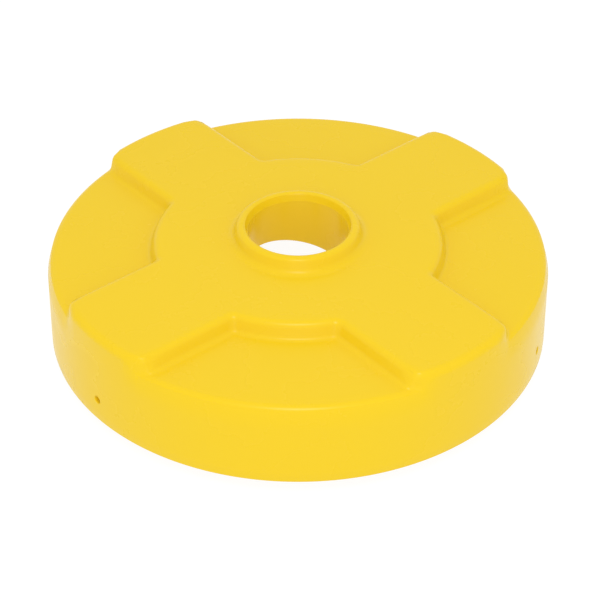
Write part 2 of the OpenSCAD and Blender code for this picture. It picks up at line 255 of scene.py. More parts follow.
def new_group(name, inputs, output, kind):
    """An empty node group with float or colour inputs and one output."""
    tree = bpy.data.node_groups.new(name, "ShaderNodeTree")
    tree.interface.new_socket("Vector", in_out="INPUT", socket_type="NodeSocketVector")
    for label, value in inputs.items():
        kind_in = "NodeSocketColor" if isinstance(value, tuple) else "NodeSocketFloat"
        socket = tree.interface.new_socket(label, in_out="INPUT", socket_type=kind_in)
        socket.default_value = value
    tree.interface.new_socket(output, in_out="OUTPUT", socket_type=kind)
    return tree, tree.nodes.new("NodeGroupInput"), tree.nodes.new("NodeGroupOutput")


def maths(tree, operation, a, b=None):
    """A Math node, fed by sockets or numbers."""
    node = tree.nodes.new("ShaderNodeMath")
    node.operation = operation
    for socket, value in zip(node.inputs, (a, b)):
        if isinstance(value, bpy.types.NodeSocket):
            tree.links.new(value, socket)
        elif value is not None:
            socket.default_value = value
    return node.outputs["Value"]


def noise(tree, vector, scale, detail):
    """A Noise Texture node and its value."""
    node = tree.nodes.new("ShaderNodeTexNoise")
    tree.links.new(vector, node.inputs["Vector"])
    if isinstance(scale, bpy.types.NodeSocket):
        tree.links.new(scale, node.inputs["Scale"])
    else:
        node.inputs["Scale"].default_value = scale
    node.inputs["Detail"].default_value = detail
    return node.outputs["Fac"]


def skin_group():
    """Height of a moulded skin, 0 to 1: a fine peel over a coarser one."""
    tree, start, end = new_group("moulded skin", {"Peel": 450.0, "Coarse": 90.0, "Share": 0.4},
                                 "Height", "NodeSocketFloat")
    fine = noise(tree, start.outputs["Vector"], start.outputs["Peel"], 3)
    slow = noise(tree, start.outputs["Vector"], start.outputs["Coarse"], 2)
    both = maths(tree, "ADD", fine, maths(tree, "MULTIPLY", slow, start.outputs["Share"]))
    tree.links.new(both, end.inputs["Height"])
    return tree


def drawn_group():
    """Height of drawn or turned steel, 0 to 1: fine lines along Z and a trace of pitting."""
    tree, start, end = new_group("drawn steel", {"Lines": 900.0, "Pits": 1500.0, "Share": 0.5},
                                 "Height", "NodeSocketFloat")
    squeeze = tree.nodes.new("ShaderNodeMapping")
    squeeze.inputs["Scale"].default_value = (0.06, 0.06, 1)
    tree.links.new(start.outputs["Vector"], squeeze.inputs["Vector"])
    lines = noise(tree, squeeze.outputs["Vector"], start.outputs["Lines"], 4)
    pits = noise(tree, start.outputs["Vector"], start.outputs["Pits"], 2)
    both = maths(tree, "ADD", lines, maths(tree, "MULTIPLY", pits, start.outputs["Share"]))
    tree.links.new(both, end.inputs["Height"])
    return tree


def tone_group():
    """A colour that drifts towards a second one in slow patches and fine specks."""
    tree, start, end = new_group("tone", {"Base": (0.5, 0.5, 0.5, 1), "Other": (0.4, 0.4, 0.4, 1),
                                          "Patches": 12.0, "Specks": 600.0, "Amount": 0.5},
                                 "Color", "NodeSocketColor")
    slow = noise(tree, start.outputs["Vector"], start.outputs["Patches"], 4)
    fine = noise(tree, start.outputs["Vector"], start.outputs["Specks"], 2)
    both = maths(tree, "ADD", maths(tree, "MULTIPLY", slow, 0.7),
                 maths(tree, "MULTIPLY", fine, 0.3))
    share = maths(tree, "MULTIPLY", both, start.outputs["Amount"])
    mix = tree.nodes.new("ShaderNodeMix")
    mix.data_type = "RGBA"
    tree.links.new(share, mix.inputs[0])
    tree.links.new(start.outputs["Base"], mix.inputs[6])
    tree.links.new(start.outputs["Other"], mix.inputs[7])
    tree.links.new(mix.outputs[2], end.inputs["Color"])
    return tree


def polish_group():
    """Roughness between two values, in patches such as handling leaves."""
    tree, start, end = new_group("polish", {"Smooth": 0.3, "Dull": 0.5, "Patches": 25.0},
                                 "Roughness", "NodeSocketFloat")
    slow = noise(tree, start.outputs["Vector"], start.outputs["Patches"], 5)
    ramp = tree.nodes.new("ShaderNodeMapRange")
    tree.links.new(slow, ramp.inputs["Value"])
    ramp.inputs["From Min"].default_value = 0.35
    ramp.inputs["From Max"].default_value = 0.65
    tree.links.new(start.outputs["Smooth"], ramp.inputs["To Min"])
    tree.links.new(start.outputs["Dull"], ramp.inputs["To Max"])
    tree.links.new(ramp.outputs["Result"], end.inputs["Roughness"])
    return tree


def spangle_group():
    """Facets of a zinc coating: each crystal has its own shade from 0 to 1."""
    tree, start, end = new_group("spangle", {"Crystals": 160.0}, "Shade", "NodeSocketFloat")
    cells = tree.nodes.new("ShaderNodeTexVoronoi")
    tree.links.new(start.outputs["Vector"], cells.inputs["Vector"])
    tree.links.new(start.outputs["Crystals"], cells.inputs["Scale"])
    split = tree.nodes.new("ShaderNodeSeparateColor")
    tree.links.new(cells.outputs["Color"], split.inputs["Color"])
    tree.links.new(split.outputs["Red"], end.inputs["Shade"])
    return tree


EFFECTS = {"moulded skin": skin_group, "drawn steel": drawn_group, "tone": tone_group,
           "polish": polish_group, "spangle": spangle_group}


def effect(tree, vector, name, **values):
    """Places a shared effect in a material with its own values, and gives its output."""
    if name not in bpy.data.node_groups:
        EFFECTS[name]()
    node = tree.nodes.new("ShaderNodeGroup")
    node.node_tree = bpy.data.node_groups[name]
    tree.links.new(vector, node.inputs["Vector"])
    for key, value in values.items():
        node.inputs[key].default_value = (*value, 1) if isinstance(value, tuple) else value
    return node.outputs[0]


def finish_of(name, base, other, height, smooth, dull, amount=0.5, metallic=0.0, patches=12.0,
              specks=600.0, specular=0.5, crystals=0.0):
    """A procedural finish: drifting colour, patchy polish and a bumped surface."""
    if name in bpy.data.materials:
        return bpy.data.materials[name]
    material = bpy.data.materials.new(name)
    material.use_nodes = True
    tree = material.node_tree
    shader = tree.nodes["Principled BSDF"]
    shader.inputs["Metallic"].default_value = metallic
    shader.inputs["Specular IOR Level"].default_value = specular
    vector = tree.nodes.new("ShaderNodeTexCoord").outputs["Object"]
    tone = effect(tree, vector, "tone", Base=tuple(base), Other=tuple(other), Patches=patches,
                  Specks=specks, Amount=amount)
    rough = effect(tree, vector, "polish", Smooth=smooth, Dull=dull, Patches=patches * 2)
    if crystals:
        shade = effect(tree, vector, "spangle", Crystals=crystals)
        rough = maths(tree, "ADD", rough, maths(tree, "MULTIPLY", shade, 0.10))
        dim = tree.nodes.new("ShaderNodeMix")
        dim.data_type, dim.blend_type = "RGBA", "MULTIPLY"
        tree.links.new(maths(tree, "MULTIPLY", shade, 0.22), dim.inputs[0])
        tree.links.new(tone, dim.inputs[6])
        dim.inputs[7].default_value = (0.55, 0.57, 0.60, 1)
        tone = dim.outputs[2]
    tree.links.new(tone, shader.inputs["Base Color"])
    tree.links.new(rough, shader.inputs["Roughness"])
    kind, depth, values = height
    bump = tree.nodes.new("ShaderNodeBump")
    bump.inputs["Strength"].default_value = 1.0
    bump.inputs["Distance"].default_value = depth
    tree.links.new(effect(tree, vector, kind, **values), bump.inputs["Height"])
    tree.links.new(bump.outputs["Normal"], shader.inputs["Normal"])
    return material


def polyethylene(deck):
    """Satin yellow plastic of the deck."""
    base = tuple(deck.plastic)
    return finish_of("yellow_polyethylene", base, (base[0] * 0.93, base[1] * 0.90, base[2]),
                     ("moulded skin", 0.00002, {"Peel": 420.0, "Coarse": 60.0}),
                     0.24, 0.30, amount=0.30, patches=6.0, specular=0.2)


def zinc_plate(caster):
    """Pressed steel with a zinc coating."""
    base = tuple(caster.zinc)
    return finish_of("zinc_plate", base, tuple(c * 0.8 for c in base),
                     ("drawn steel", 0.00002, {"Lines": 500.0, "Pits": 900.0}),
                     0.26, 0.42, metallic=1.0, patches=30.0, crystals=170.0)


def bright_fastener(caster):
    """Bright zinc of bolts, nuts and washers."""
    base = tuple(min(c * 1.12, 1) for c in caster.zinc)
    return finish_of("bright_fastener", base, tuple(c * 0.82 for c in base),
                     ("drawn steel", 0.000015, {"Lines": 1400.0, "Pits": 1900.0}),
                     0.20, 0.34, metallic=1.0, patches=60.0)


def turned_steel(caster):
    """Bare turned steel."""
    base = tuple(caster.steel_colour)
    return finish_of("turned_steel", base, tuple(c * 0.75 for c in base),
                     ("drawn steel", 0.00002, {"Lines": 2600.0, "Pits": 1200.0}),
                     0.22, 0.36, metallic=1.0, patches=45.0)


def ball_steel(_):
    """Polished bearing steel."""
    return finish_of("ball_steel", (0.66, 0.66, 0.68), (0.58, 0.58, 0.60),
                     ("drawn steel", 0.000002, {"Lines": 300.0, "Pits": 2500.0}),
                     0.06, 0.14, metallic=1.0, patches=90.0)


def black_plastic(_):
    """Black plastic of the seals."""
    return finish_of("black_plastic", (0.012, 0.012, 0.014), (0.03, 0.03, 0.032),
                     ("moulded skin", 0.00004, {"Peel": 900.0, "Coarse": 160.0}),
                     0.38, 0.52, patches=30.0)


def bush_nylon(caster):
    """Natural nylon."""
    base = tuple(caster.nylon)
    return finish_of("natural_nylon", base, tuple(c * 0.88 for c in base),
                     ("moulded skin", 0.00003, {"Peel": 800.0, "Coarse": 160.0}),
                     0.32, 0.45, patches=40.0)


def wheel_plastic(caster):
    """Grey plastic of the wheel cores."""
    base = tuple(caster.wheel)
    return finish_of("grey_polypropylene", base, tuple(c * 0.8 for c in base),
                     ("moulded skin", 0.00004, {"Peel": 1100.0, "Coarse": 200.0}),
                     0.40, 0.55, patches=25.0)


def tyre_rubber(caster):
    """Matt black rubber."""
    base = tuple(caster.rubber)
    return finish_of("moulded_rubber", base, tuple(c * 2.2 for c in base),
                     ("moulded skin", 0.00006, {"Peel": 1500.0, "Coarse": 260.0}),
                     0.62, 0.82, amount=0.7, patches=35.0, specks=1400.0, specular=0.3)


def brass(caster):
    """Turned brass of the inserts."""
    base = tuple(caster.brass)
    return finish_of("turned_brass", base, tuple(c * 0.7 for c in base),
                     ("drawn steel", 0.00002, {"Lines": 2200.0, "Pits": 1500.0}),
                     0.26, 0.42, metallic=1.0, patches=70.0)


# ---------------------------------------------------------------- the deck

class DeckForm:
    """Heights and curves of the deck, in metres above the floor."""

    def __init__(self, sizes):
        self.s = sizes
        self.foot = DECK_LOW.z
        self.radius = DECK_HIGH.x - sizes.flare
        self.crest = DECK_HIGH.z
        self.floor = self.crest - sizes.floor_drop
        self.top = self.floor + sizes.cross_height
        self.throat_top = self.crest - sizes.lip_drop
        self.throat_low = self.throat_top - sizes.throat_length
        self.join = self.floor - sizes.shoulder_round - 5 * MM
        self.roll_start = self.radius - max(sizes.shoulder_round, sizes.arm_end_round)
        rise = sizes.cross_height
        slope = sizes.wall_slope
        self.top_run = sizes.wall_top_round * math.sin(slope)
        self.top_fall = sizes.wall_top_round * (1 - math.cos(slope))
        self.foot_run = sizes.wall_foot_round * math.sin(slope)
        self.foot_fall = sizes.wall_foot_round * (1 - math.cos(slope))
        self.mid_run = (rise - self.top_fall - self.foot_fall) / math.tan(slope)
        self.run = self.top_run + self.mid_run + self.foot_run

    def stations(self, count=6):
        """Offsets from a wall's mid-line at which its curve needs an edge, inside to outside."""
        slope = self.s.wall_slope
        top = [self.s.wall_top_round * math.sin(slope * i / count) for i in range(count + 1)]
        foot = [self.run - self.s.wall_foot_round * math.sin(slope * i / count)
                for i in range(count, -1, -1)]
        return [x - self.run / 2 for x in top + foot]

    def fall(self, outward):
        """Fraction of the cross's height lost at a distance outside its wall's mid-line."""
        x = outward + self.run / 2
        rise = self.s.cross_height
        if x <= 0:
            return 0.0
        if x >= self.run:
            return 1.0
        if x < self.top_run:
            r = self.s.wall_top_round
            return (r - math.sqrt(r * r - x * x)) / rise
        if x < self.top_run + self.mid_run:
            return (self.top_fall + (x - self.top_run) * math.tan(self.s.wall_slope)) / rise
        r, x = self.s.wall_foot_round, self.run - x
        return 1 - (r - math.sqrt(r * r - x * x)) / rise

    def outside(self, x, y):
        """Distance outside the cross: a blend of the distances to the hub and the arms."""
        half = self.s.arm_width / 2
        gaps = (math.hypot(x, y) - self.s.hub_radius,
                self.outside_arm(abs(y) - half, math.hypot(x, y)),
                self.outside_arm(abs(x) - half, math.hypot(x, y)))
        blend = 7 * MM
        near = gaps[0]
        for gap in gaps[1:]:
            overlap = max(blend - abs(near - gap), 0) / blend
            near = min(near, gap) - overlap * overlap * blend / 4
        return near

    def outside_arm(self, beside, r):
        """Distance outside an arm, whose outer corners are round seen from above."""
        corner = self.s.arm_corner
        across, out = beside + corner, r - self.radius + corner
        if across > 0 and out > 0:
            return math.hypot(across, out) - corner
        return beside

    def roll(self, top, rounding, steps=12):
        """Outer edge of a level face: out from the roll's start, round, and down to the join."""
        points = [(self.roll_start, top)]
        points += arc(self.radius - rounding, top - rounding, rounding, 90, 0, steps)
        points.append((self.radius + self.lean(self.join), self.join))
        return points

    def lean(self, z):
        """How far the skirt stands out at a height, from its flare."""
        share = (self.top - z) / (self.top - self.foot)
        return self.s.flare * max(share, 0)


def along(points):
    """Distance from the first point to each point of a run, as a share of its length."""
    total = [0.0]
    for (x0, z0), (x1, z1) in zip(points, points[1:]):
        total.append(total[-1] + math.hypot(x1 - x0, z1 - z0))
    return [t / total[-1] for t in total]


def point_at(points, shares, share):
    """The point of a run at a share of its length."""
    for i in range(1, len(points)):
        if share <= shares[i] or i == len(points) - 1:
            span = shares[i] - shares[i - 1] or 1
            t = (share - shares[i - 1]) / span
            (x0, z0), (x1, z1) = points[i - 1], points[i]
            return x0 + (x1 - x0) * t, z0 + (z1 - z0) * t


def blank_profile(form):
    """Section of the deck before its floors are sunk: throat, lip, top, roll and skirt."""
    s = form.s
    crest = s.throat_radius + s.lip_inner
    points = [(s.throat_radius, form.throat_low + s.throat_length * i / 4) for i in range(5)]
    side = 90 - math.degrees(s.lip_slope)
    points.append((s.throat_radius + 0.35 * MM, points[-1][1] + 0.1 * MM))
    points += arc(crest, form.crest - s.lip_round, s.lip_round, 140, 90, 6)
    for i in range(1, 8):
        a = math.radians(90 - (90 - side) * i / 7)
        points.append((crest + s.lip_width * math.cos(a),
                       form.crest - s.lip_width * 0.8 * (1 - math.sin(a))))
    x, z = points[-1]
    low = form.top + s.lip_foot * (1 - math.cos(s.lip_slope))
    x += (z - low) / math.tan(s.lip_slope) + s.lip_foot * math.sin(s.lip_slope)
    points += arc(x, form.top + s.lip_foot, s.lip_foot, 180 + side, 270, 8)
    points += [(110 * MM, form.top), (135 * MM, form.top), (157 * MM, form.top)]
    points += [(s.hub_radius + d, form.top) for d in form.stations()]
    last = s.hub_radius + form.run / 2
    gap = form.roll_start - last
    points += [(last + gap * i / 8, form.top) for i in range(1, 8)]
    points += form.roll(form.top, s.arm_end_round)
    skirt = form.join - form.foot
    points += [(form.radius + form.lean(z), z)
               for z in (form.join - skirt * i / 6 for i in range(1, 7))]
    return points


def sink_floors(bm, form):
    """Cuts the cross's edges into the blank and lowers the four floors between its arms."""
    s = form.s
    start = s.hub_radius - form.run / 2 - 3 * MM
    half = s.arm_width / 2
    for offset in form.stations():
        for normal in ((1, 0, 0), (-1, 0, 0), (0, 1, 0), (0, -1, 0)):
            faces = [f for f in bm.faces
                     if f.calc_center_median().xy.length > start
                     and f.calc_center_median().z > form.join - 1 * MM]
            geom = faces + list({e for f in faces for e in f.edges}) + \
                list({v for f in faces for v in f.verts})
            bmesh.ops.bisect_plane(bm, geom=geom, dist=1e-6, plane_no=normal,
                                   plane_co=Vector(normal) * (half + offset))
    bmesh.ops.remove_doubles(bm, verts=bm.verts, dist=0.25 * MM)
    arm = form.roll(form.top, s.arm_end_round)
    floor = form.roll(form.floor, s.shoulder_round)
    floor_shares = along(floor)
    for v in bm.verts:
        r = v.co.xy.length
        if r < start or v.co.z < form.join:
            continue
        fall = form.fall(form.outside(v.co.x, v.co.y))
        if fall == 0:
            continue
        if r <= form.roll_start:
            v.co.z -= s.cross_height * fall
            continue
        share = roll_share(form, arm, r, v.co.z)
        x, z = point_at(floor, floor_shares, share)
        new_r = r + (x - r) * fall
        v.co.x *= new_r / r
        v.co.y *= new_r / r
        v.co.z += (z - v.co.z) * fall


def roll_share(form, run, r, z):
    """Where a point of the blank's roll lies along it, from 0 to 1."""
    rounding = form.s.arm_end_round
    centre = (form.radius - rounding, form.top - rounding)
    total = math.dist(run[0], run[1]) + rounding * math.pi / 2 + math.dist(run[-2], run[-1])
    if r < centre[0]:
        return (r - form.roll_start) / total
    if z > centre[1]:
        turn = math.atan2(r - centre[0], z - centre[1])
        return (centre[0] - form.roll_start + rounding * turn) / total
    return (centre[0] - form.roll_start + rounding * math.pi / 2 + centre[1] - z) / total


def slope_throat(bm, form):
    """Gives the throat's lower edge its slope."""
    s = form.s
    for v in bm.verts:
        if v.co.xy.length < s.throat_radius + 1 * MM and v.co.z < form.throat_top - 1 * MM:
            share = (form.throat_top - v.co.z) / s.throat_length
            turn = math.atan2(v.co.y, v.co.x) - s.throat_fall_turn
            v.co.z -= s.throat_fall * math.cos(turn) * share


def drill_skirt(piece, form):
    """Drills the three holes in the skirt, each with its edges broken."""
    s = form.s
    cutters = []
    for turn in (60, 180, 300):
        z = form.foot + s.hole_height
        outer = form.radius + form.lean(z)
        inner = outer - s.wall
        r, broken = s.hole_radius, 0.8 * MM
        points = [(0, inner - 20 * MM), (r + broken * 4, inner - 20 * MM),
                  (r + broken * 4, inner - broken * 3), (r, inner + broken),
                  (r, outer - broken), (r + broken * 4, outer + broken * 3),
                  (r + broken * 4, outer + 20 * MM), (0, outer + 20 * MM)]
        bm = turned(points, 40)
        place = Matrix.Rotation(math.radians(turn), 4, "Z") @ Matrix.Translation((0, 0, z)) \
            @ Matrix.Rotation(math.pi / 2, 4, "Y")
        bmesh.ops.transform(bm, matrix=place, verts=bm.verts)
        bmesh.ops.recalc_face_normals(bm, faces=bm.faces)
        cutter = placed("drill", mesh_from("drill", bm))
        cut = piece.modifiers.new("hole", "BOOLEAN")
        cut.operation, cut.solver, cut.object = "DIFFERENCE", "EXACT", cutter
        cutters.append(cutter)
    baked(piece)
    for cutter in cutters:
        mesh = cutter.data
        bpy.data.objects.remove(cutter)
        bpy.data.meshes.remove(mesh)


def soften_rims(bm, form):
    """Rounds the lower edges of the skirt and of the throat."""
    rim = [f for f in bm.faces if f.normal.z < -0.5
           and (f.calc_center_median().z < form.foot + 1.5 * MM
                or f.calc_center_median().xy.length < form.s.throat_radius + form.s.wall)]
    edges = {e for f in rim for e in f.edges
             if len(e.link_faces) == 2 and e.calc_face_angle(0) > math.radians(40)}
    rounded(bm, edges, 1.5 * MM, 3)


def deck_shell(form, material):
    """The moulded shell: one turned blank, its floors sunk, then given its wall."""
    bm = turned(blank_profile(form), form.s.steps)
    sink_floors(bm, form)
    slope_throat(bm, form)
    bmesh.ops.recalc_face_normals(bm, faces=bm.faces)
    bmesh.ops.solidify(bm, geom=bm.faces[:], thickness=form.s.wall)
    soften_rims(bm, form)
    piece = finish_piece("deck_moulding", bm, "deck", material,
                         ("deck_shell",), sharp=math.radians(24))
    drill_skirt(piece, form)
    return piece


def slab(outline, thickness, place):
    """A rib: an (x, z) outline given a thickness about y = 0, its lower edge broken."""
    bm = bmesh.new()
    verts = [bm.verts.new((x, -thickness / 2, z)) for x, z in outline]
    raised(bm, bm.faces.new(verts), (0, thickness, 0))
    low = [e for e in bm.edges if len(e.link_faces) == 2
           and any(f.normal.z < -0.6 for f in e.link_faces) and e.calc_face_angle(0) > 1.2]
    rounded(bm, low, min(1.2 * MM, thickness * 0.3), 3)
    bmesh.ops.transform(bm, matrix=place, verts=bm.verts)
    return bm


def gather(parts):
    """Joins bmeshes into one."""
    whole = bmesh.new()
    for part in parts:
        mesh = mesh_from("part", part)
        whole.from_mesh(mesh)
        bpy.data.meshes.remove(mesh)
    return whole


def spun_z(turn, x=0.0, y=0.0, z=0.0):
    """Turn about Z after a move."""
    return Matrix.Rotation(turn, 4, "Z") @ Matrix.Translation((x, y, z))


def deck_ribs(form, caster, material):
    """Ribs from the throat to the skirt, and the ribs and bosses over each caster."""
    s = form.s
    embed = s.wall / 2
    inner, outer = s.throat_radius + embed, form.radius - embed
    under = form.floor - s.wall
    step = s.hub_radius - form.run / 2 - embed
    foot = s.hub_radius + form.run / 2 - embed
    outline = [(inner, under - 15 * MM), (outer, under - 50 * MM), (outer, form.floor - 9 * MM),
               (outer - 8 * MM, form.floor - embed), (foot, form.floor - embed),
               (step, form.top - embed), (inner + 12 * MM, form.top - embed)]
    parts = [slab(outline, 5 * MM, spun_z(math.radians(a))) for a in (45, 135, 225, 315)]
    seat_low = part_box("caster_1_plate")[1].z
    seat_high = form.top - embed
    half_low = s.arm_width / 2 + 1 * MM
    half_high = s.arm_width / 2 - form.run / 2 - embed + 1 * MM
    across = [(-half_low, seat_low), (half_low, seat_low),
              (half_high, seat_high), (-half_high, seat_high)]
    dx, dy = caster.bolt_gap_out / 2, caster.bolt_gap_across / 2
    length_x = [(-dx, seat_low), (dx, seat_low), (dx, seat_high), (-dx, seat_high)]
    hole = caster.bolt / 2 + 2 * MM
    for k in CASTERS:
        turn = math.pi / 2 * (k - 1)
        for side in (-1, 1):
            parts.append(slab(across, 5 * MM, spun_z(turn, SWIVEL_R + side * dx)
                              @ Matrix.Rotation(math.pi / 2, 4, "Z")))
            parts.append(slab(length_x, 5 * MM, spun_z(turn, SWIVEL_R, side * dy)))
            for out in (-1, 1):
                points = [(hole, seat_low + 0.4 * MM), (hole + 0.6 * MM, seat_low),
                          (10.2 * MM, seat_low), (11 * MM, seat_low + 0.8 * MM),
                          (11.4 * MM, seat_high - 5 * MM), (12.6 * MM, seat_high - 3.2 * MM),
                          (15 * MM, seat_high), (hole, seat_high)]
                boss = turned(points, 40, closed=True)
                bmesh.ops.transform(boss, verts=boss.verts,
                                    matrix=spun_z(turn, SWIVEL_R + out * dx, side * dy))
                parts.append(boss)
    return finish_piece("deck_ribs", gather(parts), "deck", material)


class DRUMDOLLY_OT_deck(bpy.types.Operator):
    """Add the moulded deck, with the ribs and bosses under it"""
    bl_idname = "drum_dolly.deck"
    bl_label = "Deck"

    def execute(self, context):
        scene = context.scene
        form = DeckForm(scene.drum_dolly_deck)
        material = polyethylene(scene.drum_dolly_deck)
        deck_shell(form, material)
        deck_ribs(form, scene.drum_dolly_caster, material)
        return {"FINISHED"}


# ---------------------------------------------------------------- the casters

RACE_DEPTH = 1.4 * MM
RACE_TURNS = (22, 45, 68, 90, 112, 135, 158)
SWIVEL_R = JOINTS["swivel_1_turn"]["pos_m"][0]
AXLE_X = JOINTS["wheel_1_roll"]["pos_m"][0] - SWIVEL_R
AXLE_Z = JOINTS["wheel_1_roll"]["pos_m"][2]


def span(node, axis):
    """Lowest and highest of a node along an axis, for a caster on +X."""
    low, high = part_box(node)
    return low[axis], high[axis]


def on_axle(bm):
    """Lays something turned about Z on the axle, its +Z towards +Y."""
    place = Matrix.Translation((AXLE_X, 0, AXLE_Z)) @ Matrix.Rotation(-math.pi / 2, 4, "X")
    bmesh.ops.transform(bm, matrix=place, verts=bm.verts)
    return bm


def tube(r_in, r_out, z0, z1, broken, steps=64):
    """A turned tube with its edges broken."""
    c = broken
    return turned([(r_in, z0 + c), (r_in + c, z0), (r_out - c, z0), (r_out, z0 + c),
                   (r_out, z1 - c), (r_out - c, z1), (r_in + c, z1), (r_in, z1 - c)],
                  steps, closed=True)


def hex_form(apothem, z0, z1, up=True, hole=0.0, dish=0.0):
    """A hexagon with a turned chamfer on its outer side and a washer face under it."""
    t = apothem
    points = [(hole, z0), (t * 0.93, z0), (t * 0.95, z0 + t * 0.05), (t, z0 + t * 0.05),
              (t, z0 + (z1 - z0) * 0.5), (t, z1 - t * 0.02), (t * 0.93, z1)]
    points += [(t * 0.70, z1), (t * 0.64, z1 - dish), (hole, z1 - dish)]
    bm = turned(points, 60, closed=hole > 0)
    for v in bm.verts:
        r = v.co.xy.length
        if r < t * 0.99:
            continue
        turn = math.atan2(v.co.y, v.co.x) % (math.pi / 3) - math.pi / 6
        wide = 1 / math.cos(turn)
        v.co.x *= wide
        v.co.y *= wide
        if v.co.z > z0 + (z1 - z0) * 0.6:
            v.co.z -= t * (wide - 1) * 0.9
    if not up:
        bmesh.ops.transform(bm, verts=bm.verts, matrix=Matrix.Translation((0, 0, z0 + z1))
                            @ Matrix.Diagonal((1, 1, -1, 1)))
    bmesh.ops.recalc_face_normals(bm, faces=bm.faces)
    return bm


def threaded(r, z0, z1, pitch=1.25 * MM, steps=32):
    """A length of bolt with rings that stand for its thread, its end broken."""
    count = max(int((z1 - z0) / pitch), 1)
    points = [(0, z0), (r - 0.9 * MM, z0)]
    for i in range(count):
        z = z0 + (z1 - z0) * (i + 0.25) / count
        points += [(r, z), (r - 0.55 * MM, z + (z1 - z0) * 0.5 / count)]
    return turned(points + [(r, z1), (0, z1)], steps)


def tyre_mesh(caster):
    """Rubber tyre with a crowned tread and two shallow grooves."""
    low, high = span("caster_1_tyre", 1)
    half, r = (high - low) / 2, AXLE_Z
    inner = r - caster.tyre
    groove, g = 1.1 * MM, half * 0.36
    side = [(inner, half - 1.2 * MM), (inner + 0.8 * MM, half - 0.3 * MM),
            (inner + 2.0 * MM, half), (r - 5.5 * MM, half), (r - 4.6 * MM, half - 0.35 * MM),
            (r - 3.6 * MM, half - 0.6 * MM)]
    side += sweep(r - 4.2 * MM, half - 4.6 * MM, 4 * MM, 4 * MM, (75, 55, 35, 18))
    side += [(r - 0.12 * MM, g + 1.4 * MM), (r - 0.25 * MM, g + 0.9 * MM),
             (r - groove, g + 0.6 * MM), (r - groove, g - 0.6 * MM), (r - 0.2 * MM, g - 0.9 * MM),
             (r - 0.03 * MM, g - 1.5 * MM), (r, g * 0.3)]
    profile = side + [(x, -z) for x, z in reversed(side)]
    return on_axle(turned(profile, 120, closed=True))


def core_mesh(caster):
    """Moulded wheel core: hub, web, rim and ribs."""
    low, high = span("caster_1_wheel_core", 1)
    hub = (high - low) / 2
    t_low, t_high = span("caster_1_tyre", 1)
    rim_half = (t_high - t_low) / 2 - 0.5 * MM
    rim = AXLE_Z - caster.tyre
    bush = span("caster_1_wheel_bush", 2)
    bore = (bush[1] - bush[0]) / 2
    hub_r = bore + 6 * MM
    web = 4.0 * MM
    side = [(bore, hub - 0.8 * MM), (bore + 0.8 * MM, hub), (hub_r - 1 * MM, hub),
            (hub_r, hub - 1 * MM), (hub_r + 1.2 * MM, web + 2.5 * MM),
            (hub_r + 2.2 * MM, web + 0.8 * MM), (hub_r + 4 * MM, web),
            (rim - 9.5 * MM, web), (rim - 7.6 * MM, web + 1 * MM),
            (rim - 6.2 * MM, web + 3.5 * MM), (rim - 5.2 * MM, rim_half - 0.8 * MM),
            (rim - 4.4 * MM, rim_half), (rim - 0.6 * MM, rim_half), (rim, rim_half - 0.6 * MM)]
    parts = [turned(side + [(x, -z) for x, z in reversed(side)], 96, closed=True)]
    for k in range(caster.spokes):
        for face in (-1, 1):
            outline = [(hub_r - 1 * MM, 0), (rim - 4 * MM, 0), (rim - 4 * MM, rim_half - 3 * MM),
                       (rim - 9 * MM, rim_half - 5 * MM), (hub_r + 6 * MM, rim_half - 3.2 * MM),
                       (hub_r - 1 * MM, hub - 3 * MM)]
            rib = slab([(x, -z) for x, z in outline], 2.6 * MM, Matrix.Identity(4))
            turn = Matrix.Rotation(math.tau * (k + 0.5 * (face > 0)) / caster.spokes, 4, "Z")
            flip = Matrix.Identity(4) if face < 0 else Matrix.Rotation(math.pi, 4, "X")
            bmesh.ops.transform(rib, matrix=turn @ flip, verts=rib.verts)
            parts.append(rib)
    return on_axle(gather(parts))


def leg_outside(caster):
    """Distance of a leg's outer face from the wheel's middle; the sleeve meets the inner one."""
    return span("caster_1_axle_sleeve", 1)[1] + caster.steel


